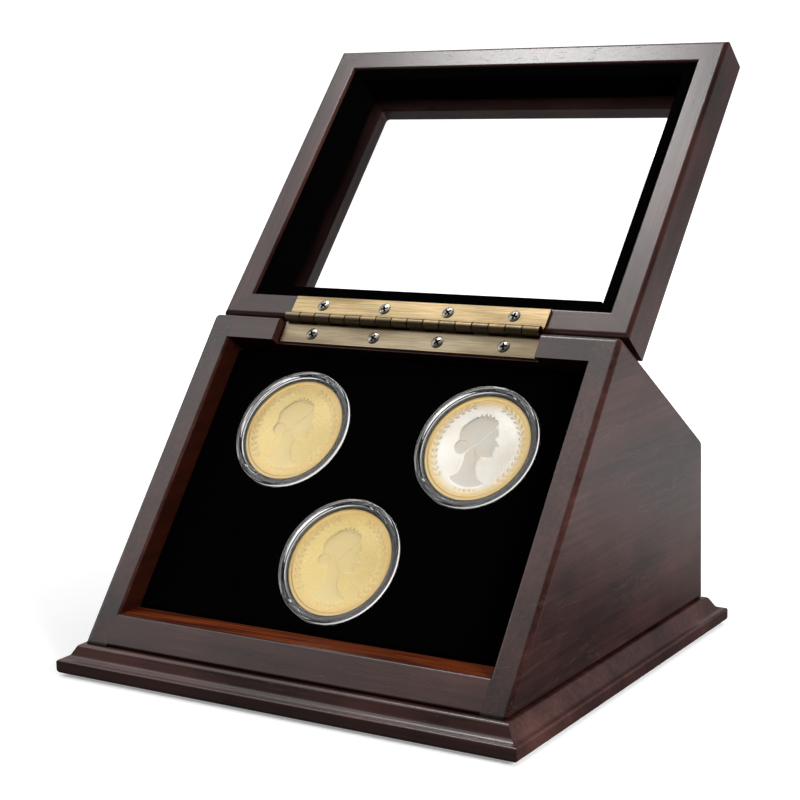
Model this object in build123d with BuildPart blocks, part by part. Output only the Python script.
from build123d import *

import os
from math import cos, radians, sin

# Slant-front coin display case. A stained wooden case holds a velvet tray behind a sloping front. The tray
# carries three coins in clear round capsules, and a glazed lid turns on a piano hinge along the top of the
# slope. The lid is modelled open, leaning back past the hinge. Millimetres and degrees; +Z is up, -Y is the
# front, and the origin is the centre of the underside.

# Case
CASE_WIDTH = 168.0
CASE_DEPTH = 149.6
BACK_HEIGHT = 58.6  # vertical part of the back, above the base board
FACE_ANGLE = 52.3  # slope of the front above the horizontal
FACE_LENGTH = 134.1  # along the slope
SIDE_BOARD = 9.8
TOP_BOARD = 9.6
FRONT_RAIL_FACE = 12.3  # visible width of the rail under the tray, along the slope
EDGE_ROUND = 1.8
PEAK_ROUND = 2.0
BACK_ROUND = 3.0
INNER_EDGE_ROUND = 0.8

# Base board and the felt under it
FELT = 1.0
FELT_INSET = 5.0
FELT_CORNER = 4.0
BASE_HEIGHT = 9.8
BASE_NOSE = 4.9  # height of the upright edge below the ogee
BASE_OVERHANG = 7.0
BASE_MOULD = {"back_round": 1.5, "nose_round": 0.8, "land": 0.3, "cove": 3.0, "crown": 1.6, "slope": 60.0}

# Tray and its battens, as depths behind the sloping face
VELVET_DEPTH = 8.5
VELVET_PAD = 5.8
TRAY_BOARD = 4.0
TRAY_GAP = 0.35
BATTEN = 8.0
BATTEN_ENDS = (34.0, 116.0)  # along the slope
POCKET_RADIUS = 23.3
POCKET_CENTRES = {"left": (-37.9, 93.7), "right": (37.9, 93.7), "lower": (0.0, 46.5)}

# Capsules and coins
CAPSULE_PROUD = 0.4  # how far a capsule stands out of the velvet
CAPSULE_RADIUS = 23.0
CAPSULE_THICKNESS = 6.0
CAPSULE_CHAMFER = 0.4
CAP_SKIRT = 3.4
CAPSULE_PLATE = 1.1
CAP_RECESS = 0.9  # depth of the cap's plate below its rim
BASE_RECESS = 0.2
RIM_REACH = 1.1  # from the coin's edge out to the rim around a plate
CAPSULE_WALL_GAP = 0.4  # from the coin's edge out to the wall around it
CAPSULE_WALL = 1.2
PART_GAP = 0.3
COIN_RADIUS = 20.0
COIN_THICKNESS = 2.6
COIN_RIM = 1.5
COIN_FIELD = 0.25  # depth of the coin's field below its rim

# Lid
LID_LENGTH = 129.6
LID_LEAN = 4.0  # lean back past the slope when open
LID_EDGE = 16.0  # height of the lid's plain sides
LID_THICKNESS = 21.5
LID_WALL = 9.5
LID_LIP_DEPTH = 16.3
LID_MOULD = {"back_round": 1.6, "nose_round": 1.5, "land": 0.7, "cove": 2.6, "crown": 2.9, "slope": 90.0}
WINDOW_INSET = 19.0
WINDOW_ROUND = 1.5
LINER = 5.0
LINER_INSET = 1.2
GLASS = 2.0
GLASS_GAP = 0.3

# Piano hinge
HINGE_LENGTH = 105.6
KNUCKLES = 16
KNUCKLE_RADIUS = 1.85
KNUCKLE_GAP = 0.45
PIN_RADIUS = 0.8
PIN_CLEARANCE = 0.05
LEAF = 1.0
LEAF_REACH = 9.9  # from the pin's axis to the leaf's edge
LEAF_SEAT = 2.15  # from the pin's axis to the wood under a leaf
LEAF_CUT = 2.3  # from the pin's axis to the leaf beside the other leaf's knuckles
HINGE_DEPTH = 1.85  # pin's axis behind the sloping face
HINGE_BEYOND = 1.35  # pin's axis beyond the case's top edge, and the lid's edge beyond the axis
NOTCH_END_GAP = 1.5

# Screws
HINGE_SCREW_SPACING = 26.5
HINGE_SCREWS = 4
SCREW_REACH = 6.2  # from the pin's axis to the screws
HINGE_HEAD = 2.3
HINGE_SHANK = 1.25
HINGE_SCREW_LENGTH = 9.5
HINGE_DOME = 0.4
HINGE_SLOT = 0.75
HINGE_SCREW_TURNS = (28.0, 66.0, 41.0, 12.0)  # how far each screw's recess is turned, from the left
BASE_SCREW_Y = (-52.0, 0.0, 52.0)
BASE_SCREW_SINK = 0.3  # how far the heads lie above the felt
BASE_HEAD = 3.4
BASE_SHANK = 1.7
BASE_SCREW_LENGTH = 27.5
BASE_DOME = 0.2
BASE_SLOT = 0.8
SCREW_CLEARANCE = 0.1

SHORTEST_EDGE = 0.001

os.makedirs("parts", exist_ok=True)


def save(piece, name):
    """Labels a finished piece and writes it as parts/name.step."""
    piece.part.label = name
    export_step(piece.part, f"parts/{name}.step")


# Places and directions

BASE_TOP = FELT + BASE_HEIGHT
FRONT_Y = -CASE_DEPTH / 2
BACK_Y = CASE_DEPTH / 2
INNER_HALF = CASE_WIDTH / 2 - SIDE_BOARD
RISE = Vector(0, cos(radians(FACE_ANGLE)), sin(radians(FACE_ANGLE)))  # up the slope
OUT = Vector(0, -sin(radians(FACE_ANGLE)), cos(radians(FACE_ANGLE)))  # out of the slope

face_plane = Plane(origin=(0, FRONT_Y, BASE_TOP), x_dir=(1, 0, 0), z_dir=OUT)


def on_face(x, along, depth):
    """The point at a place across and up the slope, at a depth behind it."""
    return face_plane.from_local_coords(Vector(x, along, -depth))


def side_point(along, depth):
    """(y, z) of a point up the slope and behind it, for sketches drawn on Plane.YZ."""
    point = on_face(0, along, depth)
    return (point.Y, point.Z)


def plane_at(point, normal):
    """A plane at a point, with its x along +X."""
    return Plane(origin=point, x_dir=(1, 0, 0), z_dir=normal)


hinge_axis = on_face(0, FACE_LENGTH + HINGE_BEYOND, HINGE_DEPTH)
case_hinge_plane = plane_at(hinge_axis, OUT)

LID_ANGLE = FACE_ANGLE - LID_LEAN
LID_RISE = Vector(0, cos(radians(LID_ANGLE)), sin(radians(LID_ANGLE)))
LID_OUT = Vector(0, -sin(radians(LID_ANGLE)), cos(radians(LID_ANGLE)))
lid_hinge_plane = plane_at(hinge_axis, LID_OUT)
lid_centre = hinge_axis + LID_RISE * (HINGE_BEYOND + LID_LENGTH / 2) - LID_OUT * LEAF_SEAT
lid_plane = plane_at(lid_centre, LID_OUT)  # on the lid's mating face, at its middle


def moulded_section(plane, half, height, nose, back_round, nose_round, land, cove, crown, slope):
    """A slab's section: flat below, an upright edge as high as nose, then an ogee of a cove and a crown.
    Slope is how steep the ogee is between the two."""
    turn = radians(slope)
    cove_x = half - nose_round - land
    slope_rise = height - nose - (cove + crown) * (1 - cos(turn))
    crown_x = cove_x - (cove + crown) * sin(turn) - slope_rise / sin(turn) * cos(turn)
    with BuildSketch(plane) as section:
        with BuildLine():
            Line((0, 0), (half - back_round, 0))
            CenterArc((half - back_round, back_round), back_round, -90, 90)
            Line((half, back_round), (half, nose - nose_round))
            CenterArc((half - nose_round, nose - nose_round), nose_round, 0, 90)
            Line((half - nose_round, nose), (cove_x, nose))
            hollow = CenterArc((cove_x, nose + cove), cove, 270, -slope)
            swell = CenterArc((crown_x, height - crown), crown, 90 - slope, slope)
            if (hollow @ 1 - swell @ 0).length > SHORTEST_EDGE:
                Line(hollow @ 1, swell @ 0)
            Line((crown_x, height), (0, height))
            mirror(about=Plane.YZ)
        make_face()
    return section.sketch


# Screws, each drawn with the top of its countersink at the origin and its point down


def countersunk_screw(head_radius, shank_radius, length, dome, slot):
    """A countersunk wood screw with a low domed head and a cross recess."""
    neck = head_radius - shank_radius
    tip = 2 * shank_radius
    recess_length = head_radius * 1.2
    with BuildPart() as screw:
        with BuildSketch(Plane.XZ):
            with BuildLine():
                Line((0, dome), (0, -length))
                Line((0, -length), (shank_radius, -length + tip))
                Line((shank_radius, -length + tip), (shank_radius, -neck))
                Line((shank_radius, -neck), (head_radius, 0))
                TangentArc((0, dome), (head_radius, 0), tangent=(1, 0))
            make_face()
        revolve(axis=Axis.Z)
        with BuildSketch(Plane.XY.offset(-neck / 2)):
            Rectangle(recess_length, slot)
            Rectangle(slot, recess_length)
        extrude(amount=head_radius, mode=Mode.SUBTRACT)
    return screw.part


hinge_screw = countersunk_screw(HINGE_HEAD, HINGE_SHANK, HINGE_SCREW_LENGTH, HINGE_DOME, HINGE_SLOT)
base_screw = countersunk_screw(BASE_HEAD, BASE_SHANK, BASE_SCREW_LENGTH, BASE_DOME, BASE_SLOT)

screw_xs = [HINGE_SCREW_SPACING * (i - (HINGE_SCREWS - 1) / 2) for i in range(HINGE_SCREWS)]
case_screw_places = [
    case_hinge_plane.location * Location((x, -SCREW_REACH, LEAF - LEAF_SEAT), (0, 0, turn))
    for x, turn in zip(screw_xs, HINGE_SCREW_TURNS)
]
lid_screw_places = [
    lid_hinge_plane.location * Location((x, SCREW_REACH, LEAF - LEAF_SEAT), (0, 0, -turn))
    for x, turn in zip(screw_xs, HINGE_SCREW_TURNS)
]
side_board_middle = CASE_WIDTH / 2 - SIDE_BOARD / 2
base_screw_places = [
    Location((x, y, FELT + BASE_SCREW_SINK), (180, 0, 0))
    for x in (-side_board_middle, side_board_middle)
    for y in BASE_SCREW_Y
]
PILOT_LENGTH = 2 * HINGE_SCREW_LENGTH
BASE_PILOT_LENGTH = 2 * BASE_SCREW_LENGTH

with BuildPart() as base_screws:
    with Locations(*base_screw_places):
        add(base_screw)
save(base_screws, "base_screws")

with BuildPart() as hinge_screws_case:
    with Locations(*case_screw_places):
        add(hinge_screw)
save(hinge_screws_case, "hinge_screws_case")

with BuildPart() as hinge_screws_lid:
    with Locations(*lid_screw_places):
        add(hinge_screw)
save(hinge_screws_lid, "hinge_screws_lid")

# Base board with an ogee edge, mitred at its corners, and the felt under it

base_front = Plane(origin=(0, 0, FELT), x_dir=(1, 0, 0), z_dir=(0, -1, 0))
base_side = Plane(origin=(0, 0, FELT), x_dir=(0, 1, 0), z_dir=(1, 0, 0))
base_half_width = CASE_WIDTH / 2 + BASE_OVERHANG
base_half_depth = CASE_DEPTH / 2 + BASE_OVERHANG

with BuildPart() as base_board:
    extrude(
        moulded_section(base_front, base_half_width, BASE_HEIGHT, BASE_NOSE, **BASE_MOULD),
        amount=base_half_depth,
        both=True,
    )
    extrude(
        moulded_section(base_side, base_half_depth, BASE_HEIGHT, BASE_NOSE, **BASE_MOULD),
        amount=base_half_width,
        both=True,
        mode=Mode.INTERSECT,
    )
    with Locations(*base_screw_places):
        CounterSinkHole(BASE_SHANK + SCREW_CLEARANCE, BASE_HEAD + SCREW_CLEARANCE, depth=BASE_PILOT_LENGTH)
save(base_board, "base_board")

felt_width = 2 * (base_half_width - FELT_INSET)
felt_depth = 2 * (base_half_depth - FELT_INSET)

with BuildPart() as base_felt:
    with BuildSketch():
        RectangleRounded(felt_width, felt_depth, FELT_CORNER)
    extrude(amount=FELT)
save(base_felt, "base_felt")

# Case boards. Their outlines are drawn from the side, as (y, z)

front_bottom = Vector(FRONT_Y, BASE_TOP)
peak = Vector(*side_point(FACE_LENGTH, 0))
back_corner = Vector(BACK_Y, BASE_TOP + BACK_HEIGHT)
back_slope = (back_corner - peak).normalized()
back_slope_in = Vector(back_slope.Y, -back_slope.X)  # square to the back slope, into the case
rise_2d = Vector(RISE.Y, RISE.Z)
TOP_BOARD_REACH = 1.5 * TOP_BOARD  # well past the top board's front edge, measured along the slope
top_board_front = peak + rise_2d * (TOP_BOARD / rise_2d.dot(back_slope_in))
top_board_back = back_corner - Vector(0, TOP_BOARD / back_slope.X)
back_board_top = top_board_back - back_slope * (SIDE_BOARD / back_slope.X)


def round_outer_corners(section):
    """Rounds the peak and the back corner of an outline drawn from the side."""
    for corner, radius in ((peak, PEAK_ROUND), (back_corner, BACK_ROUND)):
        fillet(section.vertices().sort_by_distance((corner.X, corner.Y, 0))[0], radius)


for side_name, side in (("left", -1), ("right", 1)):
    with BuildPart() as side_panel:
        with BuildSketch(Plane.YZ.offset(side * CASE_WIDTH / 2)) as outline:
            with BuildLine():
                Polyline(front_bottom, peak, back_corner, (BACK_Y, BASE_TOP), close=True)
            make_face()
            round_outer_corners(outline)
        extrude(amount=-side * SIDE_BOARD)
        outer_face = side_panel.faces().sort_by(Axis.X)[0 if side < 0 else -1]
        fillet(outer_face.edges(), EDGE_ROUND)
        # The inner edge is rounded only between the two rails, which meet the stiles flush
        with BuildSketch(plane_at(on_face(0, FRONT_RAIL_FACE, 0), RISE)):
            with Locations((side * (INNER_HALF + INNER_EDGE_ROUND / 2), INNER_EDGE_ROUND / 2)):
                Rectangle(INNER_EDGE_ROUND, INNER_EDGE_ROUND)
            with Locations((side * (INNER_HALF + INNER_EDGE_ROUND), INNER_EDGE_ROUND)):
                Circle(INNER_EDGE_ROUND, mode=Mode.SUBTRACT)
        extrude(amount=FACE_LENGTH - TOP_BOARD - FRONT_RAIL_FACE, mode=Mode.SUBTRACT)
        with Locations(*[place for place in base_screw_places if place.position.X * side > 0]):
            Cylinder(BASE_SHANK + SCREW_CLEARANCE, BASE_PILOT_LENGTH, mode=Mode.SUBTRACT)
    save(side_panel, f"side_panel_{side_name}")

with BuildPart() as top_back_panel:
    with BuildSketch(Plane.YZ.offset(-INNER_HALF)) as outline:
        with BuildLine():
            Polyline(peak, back_corner, top_board_back, top_board_front, close=True)
        make_face()
        round_outer_corners(outline)
    extrude(amount=2 * INNER_HALF)
    with BuildSketch(face_plane.offset(-HINGE_DEPTH - LEAF_SEAT)):
        with Locations((0, FACE_LENGTH)):
            Rectangle(HINGE_LENGTH + 2 * NOTCH_END_GAP, 2 * TOP_BOARD_REACH)
    extrude(amount=2 * (HINGE_DEPTH + LEAF_SEAT), mode=Mode.SUBTRACT)
    with Locations(*case_screw_places):
        Cylinder(HINGE_SHANK + SCREW_CLEARANCE, PILOT_LENGTH, mode=Mode.SUBTRACT)
save(top_back_panel, "top_back_panel")

with BuildPart() as back_panel:
    with BuildSketch(Plane.YZ.offset(-INNER_HALF)):
        with BuildLine():
            Polyline(
                (BACK_Y - SIDE_BOARD, BASE_TOP),
                (BACK_Y, BASE_TOP),
                top_board_back,
                back_board_top,
                close=True,
            )
        make_face()
    extrude(amount=2 * INNER_HALF)
save(back_panel, "back_panel")

# Front rail: a level top running back to the velvet, then a ledge square to the tray's lower edge

TRAY_BACK = VELVET_DEPTH + VELVET_PAD + TRAY_BOARD
BATTEN_FACE = TRAY_BACK + TRAY_GAP
rail_top_back = FRONT_RAIL_FACE + VELVET_DEPTH / RISE.Z * RISE.Y
ledge_back = side_point(rail_top_back, BATTEN_FACE)

with BuildPart() as front_rail:
    with BuildSketch(Plane.YZ.offset(-INNER_HALF)):
        with BuildLine():
            Polyline(
                front_bottom,
                side_point(FRONT_RAIL_FACE, 0),
                side_point(rail_top_back, VELVET_DEPTH),
                ledge_back,
                (ledge_back[0], BASE_TOP),
                close=True,
            )
        make_face()
    extrude(amount=2 * INNER_HALF)
    long_edges = front_rail.edges().filter_by(Axis.X)
    top_edge = long_edges.sort_by_distance(on_face(0, FRONT_RAIL_FACE, 0))[0]
    bottom_edge = long_edges.sort_by_distance(on_face(0, 0, 0))[0]
    fillet([top_edge, bottom_edge], INNER_EDGE_ROUND)
save(front_rail, "front_rail")

# Battens under the tray's sides

for side_name, side in (("left", -1), ("right", 1)):
    with BuildPart() as batten:
        with BuildSketch(face_plane.offset(-BATTEN_FACE)):
            with Locations((side * (INNER_HALF - BATTEN / 2), sum(BATTEN_ENDS) / 2)):
                Rectangle(BATTEN, BATTEN_ENDS[1] - BATTEN_ENDS[0])
        extrude(amount=-BATTEN)
    save(batten, f"tray_batten_{side_name}")

# Tray: a board under a velvet-covered foam pad with three round pockets

tray_bottom = rail_top_back + TRAY_GAP
tray_top = FACE_LENGTH - TOP_BOARD - TRAY_GAP
tray_middle = (tray_bottom + tray_top) / 2

with BuildPart() as tray_board:
    with BuildSketch(face_plane.offset(-TRAY_BACK)):
        with Locations((0, tray_middle)):
            Rectangle(2 * (INNER_HALF - TRAY_GAP), tray_top - tray_bottom)
    extrude(amount=TRAY_BOARD)
save(tray_board, "tray_board")

with BuildPart() as tray_velvet:
    with BuildSketch(face_plane.offset(-VELVET_DEPTH)):
        with Locations((0, tray_middle)):
            Rectangle(2 * (INNER_HALF - TRAY_GAP), tray_top - tray_bottom)
        with Locations(*POCKET_CENTRES.values()):
            Circle(POCKET_RADIUS, mode=Mode.SUBTRACT)
    extrude(amount=-VELVET_PAD)
save(tray_velvet, "tray_velvet")

# Capsules in two halves, each with a coin. Sections are drawn as (radius, height above the front)

RIM_INNER = COIN_RADIUS + RIM_REACH
WALL_INNER = COIN_RADIUS + CAPSULE_WALL_GAP
WALL_OUTER = WALL_INNER + CAPSULE_WALL
SKIRT_INNER = WALL_OUTER + PART_GAP
cap_plate_back = -CAP_RECESS - CAPSULE_PLATE
base_plate_back = BASE_RECESS - CAPSULE_THICKNESS
base_plate_front = base_plate_back + CAPSULE_PLATE
coin_middle = (cap_plate_back + base_plate_front) / 2


def spun(centre, points):
    """A closed outline of (radius, height) points, turned about a line square to the slope."""
    with BuildPart() as body:
        with BuildSketch(Plane(origin=centre, x_dir=(1, 0, 0), z_dir=-RISE)):
            with BuildLine():
                Polyline(*points, close=True)
            make_face()
        revolve(axis=Axis(centre, OUT))
    return body


cap_outline = [
    (0, -CAP_RECESS),
    (RIM_INNER - CAP_RECESS, -CAP_RECESS),
    (RIM_INNER, 0),
    (CAPSULE_RADIUS - CAPSULE_CHAMFER, 0),
    (CAPSULE_RADIUS, -CAPSULE_CHAMFER),
    (CAPSULE_RADIUS, -CAP_SKIRT),
    (SKIRT_INNER, -CAP_SKIRT),
    (SKIRT_INNER, cap_plate_back),
    (0, cap_plate_back),
]
base_outline = [
    (0, base_plate_front),
    (WALL_INNER, base_plate_front),
    (WALL_INNER, cap_plate_back - PART_GAP),
    (WALL_OUTER, cap_plate_back - PART_GAP),
    (WALL_OUTER, -CAP_SKIRT - PART_GAP),
    (CAPSULE_RADIUS, -CAP_SKIRT - PART_GAP),
    (CAPSULE_RADIUS, CAPSULE_CHAMFER - CAPSULE_THICKNESS),
    (CAPSULE_RADIUS - CAPSULE_CHAMFER, -CAPSULE_THICKNESS),
    (RIM_INNER, -CAPSULE_THICKNESS),
    (RIM_INNER - BASE_RECESS, base_plate_back),
    (0, base_plate_back),
]
half_coin = COIN_THICKNESS / 2
half_field = half_coin - COIN_FIELD
coin_outline = [
    (0, coin_middle + half_field),
    (COIN_RADIUS - COIN_RIM - COIN_FIELD, coin_middle + half_field),
    (COIN_RADIUS - COIN_RIM, coin_middle + half_coin),
    (COIN_RADIUS - COIN_FIELD, coin_middle + half_coin),
    (COIN_RADIUS, coin_middle + half_field),
    (COIN_RADIUS, coin_middle - half_field),
    (COIN_RADIUS - COIN_FIELD, coin_middle - half_coin),
    (COIN_RADIUS - COIN_RIM, coin_middle - half_coin),
    (COIN_RADIUS - COIN_RIM - COIN_FIELD, coin_middle - half_field),
    (0, coin_middle - half_field),
]

for place_name, (across, along) in POCKET_CENTRES.items():
    front_centre = on_face(across, along, VELVET_DEPTH - CAPSULE_PROUD)
    save(spun(front_centre, cap_outline), f"capsule_cap_{place_name}")
    save(spun(front_centre, base_outline), f"capsule_base_{place_name}")
    save(spun(front_centre, coin_outline), f"coin_{place_name}")

# Lid: a moulded frame in four mitred pieces, glazed from inside and lined with velvet strips

lid_across = Plane(origin=lid_centre, x_dir=(1, 0, 0), z_dir=LID_RISE)
lid_along = Plane(origin=lid_centre, x_dir=LID_RISE, z_dir=(-1, 0, 0))
lid_half_width = CASE_WIDTH / 2
lid_half_length = LID_LENGTH / 2

with BuildPart() as lid_ring:
    extrude(
        moulded_section(lid_across, lid_half_width, LID_THICKNESS, LID_EDGE, **LID_MOULD),
        amount=lid_half_length,
        both=True,
    )
    extrude(
        moulded_section(lid_along, lid_half_length, LID_THICKNESS, LID_EDGE, **LID_MOULD),
        amount=lid_half_width,
        both=True,
        mode=Mode.INTERSECT,
    )
    with BuildSketch(lid_plane):
        Rectangle(CASE_WIDTH - 2 * LID_WALL, LID_LENGTH - 2 * LID_WALL)
    extrude(amount=-LID_LIP_DEPTH, mode=Mode.SUBTRACT)
    with BuildSketch(lid_plane):
        RectangleRounded(CASE_WIDTH - 2 * WINDOW_INSET, LID_LENGTH - 2 * WINDOW_INSET, WINDOW_ROUND)
    extrude(amount=-LID_THICKNESS, mode=Mode.SUBTRACT)
    lid_out_axis = Axis((0, 0, 0), LID_OUT)
    mating_face = lid_ring.faces().filter_by(lid_out_axis).sort_by(lid_out_axis)[-1]
    fillet(mating_face.inner_wires()[0].edges(), INNER_EDGE_ROUND)
    with Locations(*lid_screw_places):
        Cylinder(HINGE_SHANK + SCREW_CLEARANCE, PILOT_LENGTH, mode=Mode.SUBTRACT)

mitre_x = lid_half_width - lid_half_length  # where the mitres from two corners meet
mitres = {
    "lid_rail_hinge": [
        (-lid_half_width, -lid_half_length),
        (lid_half_width, -lid_half_length),
        (mitre_x, 0),
        (-mitre_x, 0),
    ],
    "lid_rail_free": [
        (-lid_half_width, lid_half_length),
        (lid_half_width, lid_half_length),
        (mitre_x, 0),
        (-mitre_x, 0),
    ],
    "lid_stile_left": [
        (-lid_half_width, -lid_half_length),
        (-lid_half_width, lid_half_length),
        (-mitre_x, 0),
    ],
    "lid_stile_right": [
        (lid_half_width, -lid_half_length),
        (lid_half_width, lid_half_length),
        (mitre_x, 0),
    ],
}
for piece_name, corners in mitres.items():
    with BuildPart() as lid_piece:
        add(lid_ring.part)
        with BuildSketch(lid_plane):
            with BuildLine():
                Polyline(*corners, close=True)
            make_face()
        extrude(amount=2 * LID_THICKNESS, both=True, mode=Mode.INTERSECT)
    save(lid_piece, piece_name)

with BuildPart() as lid_glass:
    with BuildSketch(lid_plane.offset(-LID_LIP_DEPTH)):
        Rectangle(
            CASE_WIDTH - 2 * (LID_WALL + GLASS_GAP),
            LID_LENGTH - 2 * (LID_WALL + GLASS_GAP),
        )
    extrude(amount=GLASS)
save(lid_glass, "lid_glass")

liner_depth = LID_LIP_DEPTH - GLASS - LINER_INSET
lined_width = CASE_WIDTH - 2 * LID_WALL
lined_length = LID_LENGTH - 2 * LID_WALL
liners = {
    "lid_liner_left": ((LINER - lined_width) / 2, 0, LINER, lined_length),
    "lid_liner_right": ((lined_width - LINER) / 2, 0, LINER, lined_length),
    "lid_liner_hinge": (0, (LINER - lined_length) / 2, lined_width - 2 * LINER, LINER),
    "lid_liner_free": (0, (lined_length - LINER) / 2, lined_width - 2 * LINER, LINER),
}
for piece_name, (centre_x, centre_y, width, length) in liners.items():
    with BuildPart() as liner:
        with BuildSketch(lid_plane.offset(-LINER_INSET)):
            with Locations((centre_x, centre_y)):
                Rectangle(width, length)
        extrude(amount=-liner_depth)
    save(liner, piece_name)

# Piano hinge: knuckles alternate between the two leaves along one pin

knuckle_pitch = HINGE_LENGTH / KNUCKLES
knuckle_starts = [-HINGE_LENGTH / 2 + i * knuckle_pitch + KNUCKLE_GAP / 2 for i in range(KNUCKLES)]
knuckle_length = knuckle_pitch - KNUCKLE_GAP


def hinge_leaf(plane, toward, starts, screw_places):
    """A leaf that reaches toward -1 or +1 along the plane's y, with its knuckles at the given places."""
    with BuildPart() as leaf:
        with BuildSketch(plane.offset(-LEAF_SEAT)):
            with Locations((0, toward * (LEAF_REACH + LEAF_CUT) / 2)):
                Rectangle(HINGE_LENGTH, LEAF_REACH - LEAF_CUT)
        extrude(amount=LEAF)
        for start in starts:
            section = Plane(
                origin=plane.from_local_coords(Vector(start, 0, 0)),
                x_dir=plane.y_dir,
                z_dir=plane.x_dir,
            )
            with BuildSketch(section):
                with BuildLine():
                    Polyline(
                        (toward * (LEAF_CUT + LEAF), -LEAF_SEAT),
                        (toward * (LEAF_CUT + LEAF), LEAF - LEAF_SEAT),
                        (0, LEAF - LEAF_SEAT),
                        (0, -KNUCKLE_RADIUS),
                        close=True,
                    )
                make_face()
                Circle(KNUCKLE_RADIUS)
                Circle(PIN_RADIUS + PIN_CLEARANCE, mode=Mode.SUBTRACT)
            extrude(amount=knuckle_length)
        with Locations(*screw_places):
            CounterSinkHole(HINGE_SHANK + SCREW_CLEARANCE, HINGE_HEAD + SCREW_CLEARANCE, depth=2 * LEAF_SEAT)
    return leaf


save(hinge_leaf(case_hinge_plane, -1, knuckle_starts[0::2], case_screw_places), "hinge_leaf_case")
save(hinge_leaf(lid_hinge_plane, 1, knuckle_starts[1::2], lid_screw_places), "hinge_leaf_lid")

with BuildPart() as hinge_pin:
    with BuildSketch(Plane(origin=hinge_axis, x_dir=(0, 1, 0), z_dir=(1, 0, 0))):
        Circle(PIN_RADIUS)
    extrude(amount=HINGE_LENGTH / 2, both=True)
save(hinge_pin, "hinge_pin")
